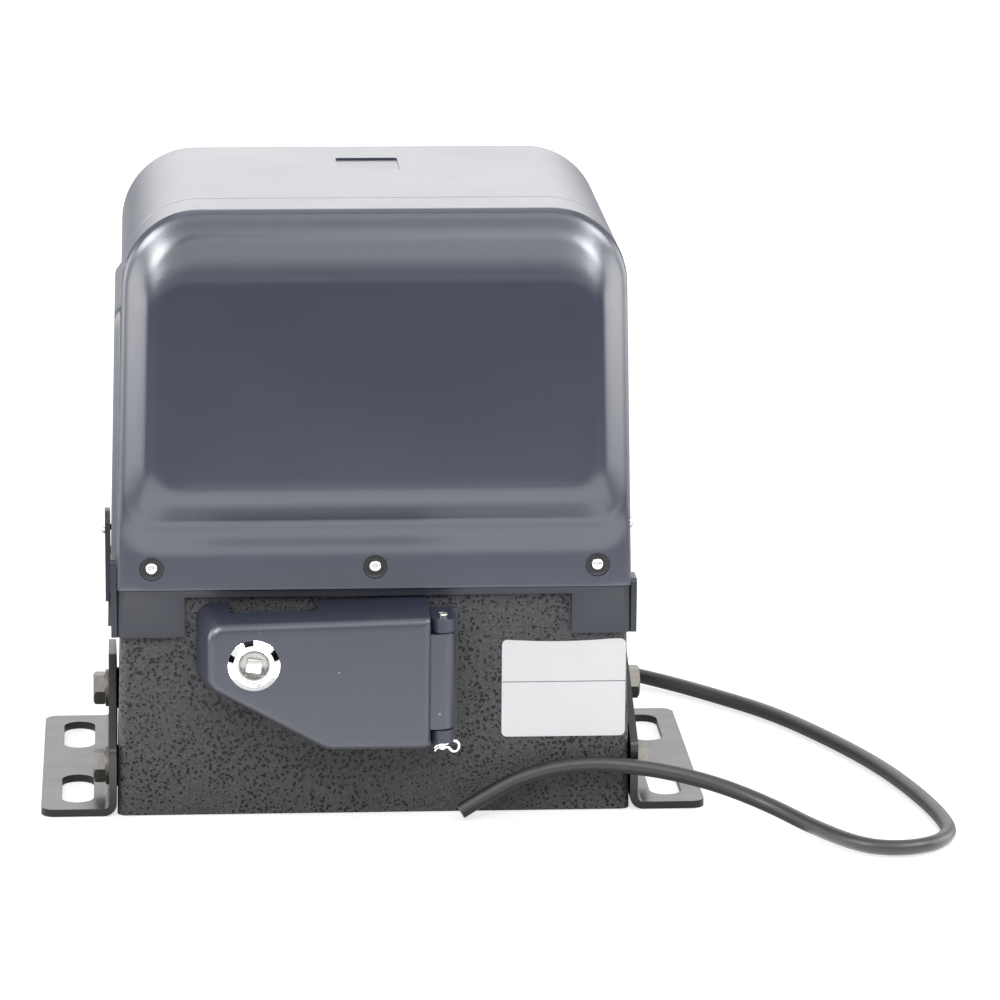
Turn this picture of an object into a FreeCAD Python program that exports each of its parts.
"""Sliding gate motor: worm-gear operator with release door, slotted foundation brackets and hood.

Millimetres. Origin: centre of the foundation slot pattern, on the floor. +X is to the right when
looking at the release door, +Y points towards the gate, +Z is up.
"""
import FreeCAD, Part
import math
import os

V = FreeCAD.Vector
X_AXIS = V(1, 0, 0)
Y_AXIS = V(0, 1, 0)
Z_AXIS = V(0, 0, 1)

# ---- gearbox housing -------------------------------------------------------------------------
BODY_HALF_X = 135.0          # half width at the floor
BODY_HALF_Y = 86.6           # half depth, front and back are upright
BODY_DRAFT = 0.0245          # the two sides lean in by this much per millimetre of height
BODY_CORNER = 5.0
BODY_WALL = 5.0
BODY_ROOF = 6.0
RIB_X = 90.0                 # two cross ribs stiffen the housing
RIB = 4.0

# ---- bottom cover ----------------------------------------------------------------------------
COVER_THICK = 6.0
COVER_LEDGE = 2.5            # how far the cover laps under the housing walls
COVER_SCREW_R = 2.5
COVER_SCREW_HEAD_R = 4.5
COVER_SCREW_HEAD = 2.6
COVER_SCREW_SINK = 0.6       # the heads stay this much above the floor
COVER_SCREW_INSET = 5.0

# ---- foundation brackets ---------------------------------------------------------------------
BRACKET_REACH = 40.0         # the feet stand out from the housing by this much
BRACKET_THICK = 4.0
BRACKET_SPARE = 0.9          # the brackets are longer than the housing by this at each end
BRACKET_FIT = 0.2            # flange stands this far off the housing foot
FLANGE_FRONT_Z = 36.0
FLANGE_TOP_Z = 68.0
FLANGE_TOP_HALF_Y = 40.0
BEND_R = 3.0
FOOT_CORNER = 7.0
SLOT_REACH = 21.0
SLOT_Y = 50.0
SLOT_LENGTH = 50.0
SLOT_WIDTH = 17.0
BRACKET_BOLTS = ((-55.0, 18.0), (0.0, 45.0))     # Y and Z of the two bolts on each side
M10_R = 5.0
M10_FLATS = 16.0
M10_HEAD = 6.4
M10_WASHER_R = 10.0
M10_WASHER = 2.0
BOLT_BOSS_R = 11.0
BOLT_BOSS = 14.0

# ---- lower shroud ----------------------------------------------------------------------------
SHROUD_SKIRT = 21.5          # how far the skirt hangs down over the housing
SHROUD_WALL = 2.8
SHROUD_FIT = 0.2
SHROUD_SIDE_EXTRA = 0.8      # the side skirts are this much thicker than the aprons
SHROUD_FLANGE = 4.0
SHROUD_FLANGE_IN = 13.0
SHROUD_UPSTAND = 23.0
APRON_LEFT = 36.0            # widths of the aprons that cover the housing's front corners
APRON_RIGHT = 32.0
LIP_OUT = 2.6
LIP_HEIGHT = 3.5
TAB_DEPTH = 17.0
TAB_RISE_LEFT = 16.0         # the corner tabs rise above the hood's edge by this much
TAB_RISE_RIGHT = 3.0
LUG_Y = -6.0
LUG_WIDTH = 20.0
LUG_RISE = 23.0
LUG_THICK = 2.8
LUG_SCREW_RISE = 13.0
LUG_HOLE = 30.0              # length of the hole through lug, hood and upstand

# ---- hood ------------------------------------------------------------------------------------
HOOD_HEIGHT = 201.0          # all heights on the hood are counted from its lower edge
HOOD_IN = 1.0                # the hood's sides stand in from the housing's foot by this much
HOOD_DRAFT = 0.0258
HOOD_TOP_R = 40.0
HOOD_WALL = 3.0
STRIP_OUT = 6.4              # the strip that takes the screws stands out from the housing
BAND_OUT = 10.9
PANEL_OUT = 21.4             # so do the raised front and rear panels
SEAM_IN = 26.6               # the joint between the shells lies this far behind the front
STRIP_HEIGHT = 19.0
BAND_RISE = 38.5
PANEL_RISE = 53.0
BAND_DROP = 4.0              # the band and the panel end this far below the hood's top
PANEL_DROP = 31.0
PANEL_INSET = 16.0
BAND_INSET = 3.0
SIDE_PANEL_OUT = 3.4
SIDE_PANEL_HEIGHT = 141.0
SIDE_PANEL_IN = (40.6, 8.6)  # its front and rear edges lie this far inside the housing's depth
EMBLEM_X = 1.5
EMBLEM_IN = 49.6
EMBLEM_SIZE = (33.0, 36.0)
EMBLEM_DEPTH = (0.2, 1.9)    # the emblem's bed slopes down to the rear
HOOD_SCREW_IN = 18.0         # the outer screws stand this far in from the hood's sides
HOOD_SCREW_RISE = 12.3
HOOD_SCREW_R = 1.9
HOOD_SCREW_HEAD_R = 3.4
HOOD_SCREW_HEAD = 2.4
COUNTERBORE_R = 6.4
COUNTERBORE_DEPTH = 2.0

# ---- gears and output ------------------------------------------------------------------------
AXIS_Z = 66.0                # height of the output shaft
MODULE = 2.8
WHEEL_TEETH = 30
WHEEL_Y = 10.0
WHEEL_WIDTH = 22.0
WHEEL_BACKLASH = 0.7
WHEEL_HEADROOM = 2.2         # between the worm wheel and the housing's roof
WORM_PITCH_R = 14.0
WORM_LENGTH = 46.0
PINION_MODULE = 4.0
PINION_TEETH = 16
PINION_WIDTH = 25.0
PINION_REACH = 25.4          # the pinion's teeth start this far behind the housing
PINION_HUB = 6.5
SHAFT_R = 15.0               # at the wheel and the clutch
TAIL_R = 12.5                # at the rear bearing and the pinion
NOSE_R = 10.0                # at the front bearing
RUN_FIT = 0.04               # radial clearance of parts that turn or slide on each other
SEAT_FIT = 0.02              # radial clearance of parts that sit still on each other

# ---- release door and its mechanism ----------------------------------------------------------
DOOR_DEPTH = 30.0            # the door stands out from the housing by this much
DOOR_BACK_GAP = 0.7
DOOR_LEFT = -87.0
DOOR_RIGHT = 28.0
DOOR_ABOVE = 47.3            # heights on the door are counted from the output axis
DOOR_TOP_DIP = 2.8           # the upper edge falls by this much towards the lock
DOOR_BELOW = 23.5
DOOR_SLANT_X = -26.0         # where the lower edge turns up
DOOR_SLANT_ABOVE = 11.0      # where the slanted edge meets the left edge
DOOR_FLARE = 6.0             # the left and upper walls lean out by this much
DOOR_WALL = 3.0
HINGE_X = 34.5
HINGE_DEPTH = 20.4
BARREL_R = 6.0
BARREL_SPAN = (-13.6, 38.0)  # below and above the output axis
EAR_THICK = 7.0
EAR_GAP = 0.6
HINGE_PIN_R = 2.2
HINGE_PIN_HEAD_R = 2.9
DOOR_SWING = 95.0            # degrees, sets the travel of the release rod against it
ROD_TRAVEL = 5.0
ROD_R = 4.0
BUTTON_R = 7.0
BUTTON_REACH = 9.4           # the rod's button stands out from the housing by this much
LOCK_X = -63.7
LOCK_ABOVE = 23.7
LOCK_BEZEL_R = 13.6
LOCK_BEZEL = 3.2
LOCK_BODY_R = 9.5
LOCK_BODY = 20.0
LOCK_PLUG_R = 7.4

# ---- motor -----------------------------------------------------------------------------------
MOTOR_Y = WHEEL_Y
STATOR_R = 56.0
STATOR_BORE_R = 31.5
STATOR_RISE = 21.0           # the stack starts this far above the housing
STATOR_LENGTH = 68.0
ROTOR_GAP = 0.8
MOTOR_SHAFT_R = 8.5
SHIELD_WALL = 5.0
COIL_HEIGHT = 11.0

# ---- limit switch, gland, cord ---------------------------------------------------------------
SWITCH_HALF_X = 14.0
SWITCH_RISE = 9.0            # the switch stands this far above the housing
SWITCH_HEIGHT = 22.0
SWITCH_IN = 28.6             # its front and rear ends, from the housing's back
SWITCH_OUT = 43.4
WAND_OUT = 33.4
WAND_LENGTH = 62.0
GLAND_X = 72.0
GLAND_Z = 24.0
GLAND_THREAD_R = 8.0
GLAND_NUT = 5.4
GLAND_FLATS = 22.0
GLAND_BOOT = 20.0
GLAND_BOOT_R = 9.5
GLAND_LIP = 1.6              # wall of the boot's thin end
GLAND_LOCKNUT = 4.0
CORD_R = 4.1

# ---- label -----------------------------------------------------------------------------------
LABEL_WIDTH = 65.2
LABEL_HEIGHT = 53.0
LABEL_SIDE = 3.0             # from the housing's foot
LABEL_BASE = 40.5
LABEL_THICK = 0.3

# the cord's route from the gland to its cut end, X Y Z of each point; the gland gives the first
CORD_ROUTE = [
    (72.0, 128.7, 24.0),
    (79.6, 146.6, 22.5),
    (93.8, 159.8, 19.0),
    (112.1, 166.1, 14.5),
    (131.4, 164.4, 10.0),
    (155.4, 151.1, 6.6),
    (177.0, 137.0, 4.8),
    (200.0, 112.0, 4.4),
    (231.0, 72.0, 4.4),
    (258.0, 16.0, 4.4),
    (278.0, -36.0, 4.4),
    (291.0, -90.0, 4.4),
    (296.5, -128.0, 4.4),
    (296.0, -152.0, 4.4),
    (285.1, -168.8, 4.4),
    (266.3, -175.6, 4.4),
    (247.2, -169.8, 4.4),
    (227.2, -142.3, 5.2),
    (204.0, -113.0, 10.5),
    (176.0, -100.0, 18.5),
    (143.0, -96.0, 25.5),
    (108.0, -95.5, 28.5),
    (78.0, -97.0, 22.5),
    (58.5, -100.0, 12.8),
    (44.5, -103.0, 4.9),
]

nodes = {}


# ---- helpers ---------------------------------------------------------------------------------
def box(x0, x1, y0, y1, z0, z1):
    return Part.makeBox(x1 - x0, y1 - y0, z1 - z0, V(x0, y0, z0))


def rod_along(axis, radius, start, length):
    return Part.makeCylinder(radius, length, V(*start), axis)


def tube_along(axis, radius, bore, start, length):
    outer = rod_along(axis, radius, start, length)
    return outer.cut(rod_along(axis, bore, start, length))


def xz(y):
    """Places a flat (x, z) point in the plane at this y."""
    return lambda p: V(p[0], y, p[1])


def yz(x):
    return lambda p: V(x, p[0], p[1])


def xy(z):
    return lambda p: V(p[0], p[1], z)


def outline(points, radii, place):
    """Closed wire through flat points, each corner rounded by its radius."""
    edges = []
    last = None
    first = None
    count = len(points)
    for i in range(count):
        here = place(points[i])
        before = place(points[i - 1])
        after = place(points[(i + 1) % count])
        radius = radii[i]
        if radius <= 0:
            start = end = here
        else:
            back = (before - here).normalize()
            ahead = (after - here).normalize()
            half = back.getAngle(ahead) / 2
            reach = radius / math.tan(half)
            start = here + back * reach
            end = here + ahead * reach
            bisector = (back + ahead).normalize()
            middle = here + bisector * (radius / math.sin(half) - radius)
        if last is not None:
            edges.append(Part.LineSegment(last, start).toShape())
        else:
            first = start
        if radius > 0:
            edges.append(Part.Arc(start, middle, end).toShape())
        last = end
    edges.append(Part.LineSegment(last, first).toShape())
    return Part.Wire(edges)


def prism(wire, direction):
    return Part.Face(wire).extrude(direction)


def polygon_prism(points, place, direction, radii=None):
    return prism(outline(points, radii or [0] * len(points), place), direction)


def hexagon(across_flats, place):
    corner = across_flats / math.sqrt(3)
    angles = [math.radians(60 * i) for i in range(6)]
    return outline([(corner * math.cos(a), corner * math.sin(a)) for a in angles], [0] * 6, place)


def mirrored_x(shape):
    return shape.mirror(V(0, 0, 0), X_AXIS)


def compound(solids):
    return Part.makeCompound(solids)


def body_half_x(z):
    return BODY_HALF_X - BODY_DRAFT * z


def hood_half_x(z):
    return HOOD_HALF_X - HOOD_DRAFT * (z - HOOD_BOTTOM)


def body_block(grow, half_y, z0, z1, corner):
    """Slice of the housing's leaning box, grown sideways by grow."""
    low = body_half_x(z0) + grow
    high = body_half_x(z1) + grow
    points = [(-low, z0), (low, z0), (high, z1), (-high, z1)]
    block = polygon_prism(points, xz(-half_y), V(0, 2 * half_y, 0))
    if corner <= 0:
        return block
    upright = [e for e in block.Edges if abs(e.tangentAt(e.FirstParameter).z) > 0.9]
    return block.makeFillet(corner, upright)


# ---- values worked out from the driving ones -------------------------------------------------
WHEEL_PITCH_R = MODULE * WHEEL_TEETH / 2
WHEEL_TIP_R = WHEEL_PITCH_R + MODULE
BODY_HEIGHT = AXIS_Z + WHEEL_TIP_R + WHEEL_HEADROOM + BODY_ROOF
HOOD_BOTTOM = BODY_HEIGHT + SHROUD_FLANGE
FRONT = -BODY_HALF_Y
BACK = BODY_HALF_Y
BRACKET_HALF_SPAN = BODY_HALF_X + BRACKET_REACH
BRACKET_HALF_Y = BODY_HALF_Y + BRACKET_SPARE
SLOT_X = BODY_HALF_X + SLOT_REACH
SHROUD_BOTTOM = BODY_HEIGHT - SHROUD_SKIRT
WINDOW_LEFT = APRON_LEFT - BODY_HALF_X
WINDOW_RIGHT = BODY_HALF_X - APRON_RIGHT
TAB_TOP_LEFT = HOOD_BOTTOM + TAB_RISE_LEFT
TAB_TOP_RIGHT = HOOD_BOTTOM + TAB_RISE_RIGHT
LUG_TOP = HOOD_BOTTOM + LUG_RISE
LUG_SCREW_Z = HOOD_BOTTOM + LUG_SCREW_RISE
HOOD_TOP = HOOD_BOTTOM + HOOD_HEIGHT
HOOD_HALF_X = BODY_HALF_X - HOOD_IN
HOOD_STRIP_Y = BODY_HALF_Y + STRIP_OUT
HOOD_BAND_Y = BODY_HALF_Y + BAND_OUT
HOOD_PANEL_Y = BODY_HALF_Y + PANEL_OUT
HOOD_SEAM_Y = FRONT + SEAM_IN
STRIP_TOP = HOOD_BOTTOM + STRIP_HEIGHT
BAND_BOTTOM = HOOD_BOTTOM + BAND_RISE
PANEL_BOTTOM = HOOD_BOTTOM + PANEL_RISE
BAND_TOP = HOOD_TOP - BAND_DROP
PANEL_TOP = HOOD_TOP - PANEL_DROP
SIDE_PANEL_TOP = HOOD_BOTTOM + SIDE_PANEL_HEIGHT
SIDE_PANEL_Y = (FRONT + SIDE_PANEL_IN[0], BACK - SIDE_PANEL_IN[1])
EMBLEM_Y = BACK - EMBLEM_IN
HOOD_SCREW_X = (HOOD_SCREW_IN - HOOD_HALF_X, 0.0, HOOD_HALF_X - HOOD_SCREW_IN)
HOOD_SCREW_Z = HOOD_BOTTOM + HOOD_SCREW_RISE
PINION_Y = BACK + PINION_REACH
DOOR_FRONT_Y = FRONT - DOOR_DEPTH
DOOR_TOP = AXIS_Z + DOOR_ABOVE
DOOR_BOTTOM = AXIS_Z - DOOR_BELOW
DOOR_SLANT_Z = AXIS_Z + DOOR_SLANT_ABOVE
HINGE_Y = FRONT - HINGE_DEPTH
BARREL_Z = (AXIS_Z + BARREL_SPAN[0], AXIS_Z + BARREL_SPAN[1])
LOCK_Z = AXIS_Z + LOCK_ABOVE
STATOR_Z = (BODY_HEIGHT + STATOR_RISE, BODY_HEIGHT + STATOR_RISE + STATOR_LENGTH)
SWITCH_Z = (BODY_HEIGHT + SWITCH_RISE, BODY_HEIGHT + SWITCH_RISE + SWITCH_HEIGHT)
SWITCH_FRONT_Y = BACK - SWITCH_IN
SWITCH_BACK_Y = BACK + SWITCH_OUT
WAND_Y = BACK + WAND_OUT
CORD_START = (GLAND_X, BACK + GLAND_NUT + GLAND_BOOT, GLAND_Z)
LABEL_RIGHT = BODY_HALF_X - LABEL_SIDE
MOTOR_X = WHEEL_PITCH_R + WORM_PITCH_R
WHEEL_FRONT_Y = WHEEL_Y - WHEEL_WIDTH / 2
WHEEL_BACK_Y = WHEEL_Y + WHEEL_WIDTH / 2
ROOF_Z = BODY_HEIGHT - BODY_ROOF
FLANGE_IN = BODY_HALF_X + BRACKET_FIT
FLANGE_OUT = FLANGE_IN + BRACKET_THICK

# bearings: bore radius, outer radius, width
WORM_BEARING = (MOTOR_SHAFT_R, 20.0, 12.0)
NOSE_BEARING = (NOSE_R, 21.0, 12.0)
TAIL_BEARING = (TAIL_R, 26.0, 15.0)
LOW_BEARING_Z = 19.0
BOSS_WALL = 3.0
HIGH_BEARING_Z = BODY_HEIGHT - 4.0 - WORM_BEARING[2]
NOSE_BEARING_Y = FRONT + BODY_WALL + 3.6
TAIL_BEARING_Y = BACK - 5.6
HUB_OUT = 17.4               # how far the rear bearing hub stands out of the housing
HUB_R = 35.0
SEAL_WIDTH = 7.0
NOSE_SHOULDER_Y = NOSE_BEARING_Y + NOSE_BEARING[2] + 1.0
TAIL_SHOULDER_Y = TAIL_BEARING_Y - 0.2

# release clutch along the output shaft
DOG_R = 23.0
DOG_BACK_Y = WHEEL_FRONT_Y - 1.0
DOG_LENGTH = 19.0
DOG_FRONT_Y = DOG_BACK_Y - DOG_LENGTH
DOG_TOOTH = 4.0
DOG_TOOTH_WIDTH = 8.0
DOG_SLOT_FIT = 0.3
DOG_TEETH = 4
SPRING_ROOM_R = 18.4
SPRING_ROOM = 11.0
CROSS_PIN_R = 2.5
CROSS_PIN_Y = DOG_FRONT_Y + 4.0
BUTTON_Y = FRONT - BUTTON_REACH
BUSH_R = 7.0


def axial(y, radius, length):
    """Cylinder on the output axis from y towards the gate."""
    return rod_along(Y_AXIS, radius, (0, y, AXIS_Z), length)


def around_wheel(points, y):
    return [V(p[0], y, AXIS_Z + p[1]) for p in points]


def bolt_places():
    return [(side, y, z) for side in (-1, 1) for y, z in BRACKET_BOLTS]


def cover_screw_places():
    x = BODY_HALF_X - BODY_WALL - COVER_SCREW_INSET
    y = BODY_HALF_Y - BODY_WALL - COVER_SCREW_INSET
    return [(sx * x, sy * y) for sx in (-1, 1) for sy in (-1, 1)]


# ---- housing and its cover -------------------------------------------------------------------
def gearbox_housing():
    shell = body_block(0, BODY_HALF_Y, 0, BODY_HEIGHT, BODY_CORNER)
    shell = shell.cut(body_block(-BODY_WALL, BODY_HALF_Y - BODY_WALL, COVER_THICK, ROOF_Z, 0))
    inside = body_half_x(ROOF_Z) - BODY_WALL
    adds = [box(side * RIB_X - RIB / 2, side * RIB_X + RIB / 2, FRONT + 1, BACK - 1, COVER_THICK, ROOF_Z + 1)
            for side in (-1, 1)]
    for side, y, z in bolt_places():
        start = side * (inside - BOLT_BOSS + BODY_WALL)
        adds.append(rod_along(X_AXIS * side, BOLT_BOSS_R, (start, y, z), FLANGE_IN - abs(start)))
    for x, y in cover_screw_places():
        adds.append(rod_along(Z_AXIS, 6.5, (x, y, COVER_THICK), 26))
    adds.append(axial(FRONT + 1, NOSE_BEARING[1] + BOSS_WALL + 1, NOSE_SHOULDER_Y - FRONT - 1))
    adds.append(axial(TAIL_BEARING_Y - 10, TAIL_BEARING[1] + BOSS_WALL + 1, BACK - TAIL_BEARING_Y + 9))
    adds.append(Part.makeCone(HUB_R + 2.5, HUB_R, HUB_OUT, V(0, BACK, AXIS_Z), Y_AXIS))
    adds.append(rod_along(Z_AXIS, WORM_BEARING[1] + BOSS_WALL, (MOTOR_X, MOTOR_Y, HIGH_BEARING_Z),
                          BODY_HEIGHT - HIGH_BEARING_Z - 1))
    shell = shell.fuse(adds)

    cuts = [body_block(-COVER_LEDGE, BODY_HALF_Y - COVER_LEDGE, -1, COVER_THICK, 0)]
    for side, y, z in bolt_places():
        cuts.append(rod_along(X_AXIS * -side, M10_R + SEAT_FIT, (side * (FLANGE_IN + 1), y, z),
                              BOLT_BOSS + 1))
    for x, y in cover_screw_places():
        cuts.append(rod_along(Z_AXIS, COVER_SCREW_R + SEAT_FIT, (x, y, 0), COVER_THICK + 22))
    cuts.append(axial(NOSE_BEARING_Y, NOSE_BEARING[1] + SEAT_FIT, NOSE_SHOULDER_Y - NOSE_BEARING_Y + 1))
    cuts.append(axial(FRONT - 1, BUSH_R + SEAT_FIT, NOSE_BEARING_Y - FRONT + 2))
    cuts.append(axial(TAIL_BEARING_Y - 11, SHAFT_R + 1.5, 20))
    cuts.append(axial(TAIL_BEARING_Y, TAIL_BEARING[1] + SEAT_FIT, BACK + HUB_OUT - TAIL_BEARING_Y + 1))
    cuts.append(rod_along(Z_AXIS, WORM_BEARING[1] + SEAT_FIT, (MOTOR_X, MOTOR_Y, HIGH_BEARING_Z - 1),
                          WORM_BEARING[2] + 1))
    cuts.append(rod_along(Z_AXIS, MOTOR_SHAFT_R + 2, (MOTOR_X, MOTOR_Y, HIGH_BEARING_Z), 30))
    cuts.append(rod_along(Y_AXIS, GLAND_THREAD_R + SEAT_FIT, (GLAND_X, BACK - BODY_WALL - 1, GLAND_Z), 8))
    return shell.cut(cuts).removeSplitter()


def bottom_cover():
    fit = COVER_LEDGE + SHROUD_FIT
    plate = body_block(-fit, BODY_HALF_Y - fit, 0, COVER_THICK, 0)
    boss = rod_along(Z_AXIS, WORM_BEARING[1] + BOSS_WALL, (MOTOR_X, MOTOR_Y, COVER_THICK - 1),
                     LOW_BEARING_Z + WORM_BEARING[2] - COVER_THICK + 1)
    plate = plate.fuse(boss)
    cuts = [rod_along(Z_AXIS, WORM_BEARING[1] + SEAT_FIT, (MOTOR_X, MOTOR_Y, LOW_BEARING_Z), 20)]
    cuts.append(rod_along(Z_AXIS, WORM_BEARING[1] - 6, (MOTOR_X, MOTOR_Y, COVER_THICK), 20))
    for x, y in cover_screw_places():
        cuts.append(rod_along(Z_AXIS, COVER_SCREW_R + SEAT_FIT, (x, y, 0), 20))
        cuts.append(rod_along(Z_AXIS, COVER_SCREW_HEAD_R + 0.5, (x, y, 0), COVER_SCREW_SINK + COVER_SCREW_HEAD))
    return plate.cut(cuts).removeSplitter()


def cover_screws():
    screws = []
    for x, y in cover_screw_places():
        head = rod_along(Z_AXIS, COVER_SCREW_HEAD_R, (x, y, COVER_SCREW_SINK), COVER_SCREW_HEAD)
        screws.append(head.fuse(rod_along(Z_AXIS, COVER_SCREW_R, (x, y, COVER_SCREW_SINK + 1), 20)))
    return compound(screws)


# ---- brackets --------------------------------------------------------------------------------
def right_bracket():
    inner = FLANGE_IN
    outer = FLANGE_OUT
    bend_out = BEND_R + BRACKET_THICK
    profile = [(inner, 0), (BRACKET_HALF_SPAN, 0), (BRACKET_HALF_SPAN, BRACKET_THICK),
               (outer, BRACKET_THICK), (outer, FLANGE_TOP_Z), (inner, FLANGE_TOP_Z)]
    angle = polygon_prism(profile, xz(-BRACKET_HALF_Y), V(0, 2 * BRACKET_HALF_Y, 0),
                          [bend_out, 0, 0, BEND_R, 0, 0])
    half = BRACKET_HALF_Y
    side = [(-half, -1), (half, -1), (half, FLANGE_FRONT_Z), (FLANGE_TOP_HALF_Y, FLANGE_TOP_Z),
            (-FLANGE_TOP_HALF_Y, FLANGE_TOP_Z), (-half, FLANGE_FRONT_Z)]
    keep = polygon_prism(side, yz(inner - 1), V(BRACKET_HALF_SPAN, 0, 0), [0, 0, 5, 9, 9, 5])
    angle = angle.common(keep)
    plan = [(inner - 1, -half), (BRACKET_HALF_SPAN, -half), (BRACKET_HALF_SPAN, half), (inner - 1, half)]
    angle = angle.common(polygon_prism(plan, xy(-1), V(0, 0, FLANGE_TOP_Z + 2),
                                       [0, FOOT_CORNER, FOOT_CORNER, 0]))
    cuts = []
    slot_r = SLOT_WIDTH / 2
    for y in (-SLOT_Y, SLOT_Y):
        reach = SLOT_LENGTH / 2
        slot = [(SLOT_X - slot_r, y - reach), (SLOT_X + slot_r, y - reach),
                (SLOT_X + slot_r, y + reach), (SLOT_X - slot_r, y + reach)]
        cuts.append(polygon_prism(slot, xy(-1), V(0, 0, BRACKET_THICK + 2), [slot_r - 0.001] * 4))
    for y, z in BRACKET_BOLTS:
        cuts.append(rod_along(X_AXIS, M10_R + SEAT_FIT, (inner - 1, y, z), BRACKET_THICK + 2))
    return angle.cut(cuts)


def bracket_washers():
    rings = []
    for side, y, z in bolt_places():
        rings.append(tube_along(X_AXIS * side, M10_WASHER_R, M10_R + SEAT_FIT,
                                (side * FLANGE_OUT, y, z), M10_WASHER))
    return compound(rings)


def bracket_bolts():
    bolts = []
    seat = FLANGE_OUT + M10_WASHER
    for side, y, z in bolt_places():
        head = prism(hexagon(M10_FLATS, lambda p: V(side * seat, y + p[0], z + p[1])),
                     V(side * M10_HEAD, 0, 0))
        shank = rod_along(X_AXIS * -side, M10_R, (side * (seat + 1), y, z), BOLT_BOSS + 6)
        bolts.append(head.fuse(shank))
    return compound(bolts)


# ---- shroud ----------------------------------------------------------------------------------
def hood_block(inset, half_y, z0, z1):
    low = hood_half_x(z0) - inset
    high = hood_half_x(z1) - inset
    points = [(-low, z0), (low, z0), (high, z1), (-high, z1)]
    return polygon_prism(points, xz(-half_y), V(0, 2 * half_y, 0))


def lug_holes():
    start = hood_half_x(LUG_SCREW_Z) - LUG_HOLE / 2
    return [rod_along(X_AXIS * side, HOOD_SCREW_R + SEAT_FIT, (side * start, LUG_Y, LUG_SCREW_Z), LUG_HOLE)
            for side in (-1, 1)]


def hood_screw_places():
    front = [(x, -1) for x in HOOD_SCREW_X]
    rear = [(x, 1) for x in HOOD_SCREW_X if x != 0]
    return front + rear


def hood_screw_holes():
    return [rod_along(V(0, side, 0), HOOD_SCREW_R + SEAT_FIT, (x, side * (HOOD_STRIP_Y - 16), HOOD_SCREW_Z), 20)
            for x, side in hood_screw_places()]


def switch_window():
    clear = SWITCH_HALF_X + 1.0
    return box(-clear, clear, BODY_HALF_Y - 20, SWITCH_BACK_Y, BODY_HEIGHT, SWITCH_Z[1] + 1.0)


def lower_shroud():
    grow = SHROUD_FIT + SHROUD_WALL
    half_y = BODY_HALF_Y + grow
    skirt = body_block(grow + SHROUD_SIDE_EXTRA, half_y, SHROUD_BOTTOM, HOOD_BOTTOM, BODY_CORNER + 2)
    lips = body_block(grow + SHROUD_SIDE_EXTRA + LIP_OUT, half_y - 24, SHROUD_BOTTOM,
                      SHROUD_BOTTOM + LIP_HEIGHT, 0)
    skirt = skirt.fuse(lips)
    lug_in = hood_half_x(HOOD_BOTTOM) + SIDE_PANEL_OUT + 0.2
    for side, top in ((-1, TAB_TOP_LEFT), (1, TAB_TOP_RIGHT)):
        inner = hood_half_x(HOOD_BOTTOM) + 0.2
        outer = body_half_x(SHROUD_BOTTOM) + grow + SHROUD_SIDE_EXTRA + 0.8
        front = -half_y + 1.0
        tab = [(front, SHROUD_BOTTOM), (front + TAB_DEPTH, SHROUD_BOTTOM), (front + TAB_DEPTH, top), (front, top)]
        tab = polygon_prism(tab, yz(side * inner), V(side * (outer - inner), 0, 0), [0, 0, 2.5, 2.5])
        lug_top = [(LUG_Y - LUG_WIDTH / 2, SHROUD_BOTTOM), (LUG_Y + LUG_WIDTH / 2, SHROUD_BOTTOM),
                   (LUG_Y + LUG_WIDTH / 2, LUG_TOP), (LUG_Y - LUG_WIDTH / 2, LUG_TOP)]
        lug = polygon_prism(lug_top, yz(side * lug_in), V(side * LUG_THICK, 0, 0), [0, 0, 8, 8])
        root = box(lug_in - 5, lug_in + 1, LUG_Y - LUG_WIDTH / 2, LUG_Y + LUG_WIDTH / 2,
                   SHROUD_BOTTOM, HOOD_BOTTOM)
        if side < 0:
            root = mirrored_x(root)
        skirt = skirt.fuse([tab, lug, root])
    skirt = skirt.cut(body_block(SHROUD_FIT, BODY_HALF_Y + SHROUD_FIT, SHROUD_BOTTOM - 1, BODY_HEIGHT, 0))
    window = box(WINDOW_LEFT, WINDOW_RIGHT, -half_y - 9, half_y + 9, SHROUD_BOTTOM - 1, BODY_HEIGHT)
    inner_x = body_half_x(BODY_HEIGHT) - SHROUD_FLANGE_IN
    inner_y = BODY_HALF_Y - SHROUD_FLANGE_IN
    opening = box(-inner_x, inner_x, -inner_y, inner_y, BODY_HEIGHT - 1, HOOD_BOTTOM + 1)
    skirt = skirt.cut([window, opening])
    fit_in = HOOD_WALL + SHROUD_FIT
    strip_in = HOOD_STRIP_Y - fit_in
    top = HOOD_BOTTOM + SHROUD_UPSTAND
    upstand = hood_block(fit_in, strip_in, HOOD_BOTTOM, top)
    upstand = upstand.cut(hood_block(fit_in + SHROUD_WALL, strip_in - SHROUD_WALL, HOOD_BOTTOM - 1, top + 1))
    posts = []
    for x, side in hood_screw_places():
        post = rod_along(V(0, -side, 0), 5.5, (x, side * strip_in, HOOD_SCREW_Z), 12)
        posts.append(post)
    upstand = upstand.fuse(posts)
    shroud = skirt.fuse(upstand)
    return shroud.cut(lug_holes() + hood_screw_holes() + [switch_window()]).removeSplitter()


# ---- hood ------------------------------------------------------------------------------------
def hood_section(y, z0, z1, inset, top_r, bottom_r):
    low = hood_half_x(z0) - inset
    high = hood_half_x(z1) - inset
    points = [(-low, z0), (low, z0), (high, z1), (-high, z1)]
    return outline(points, [bottom_r, bottom_r, top_r, top_r], xz(y))


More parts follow.
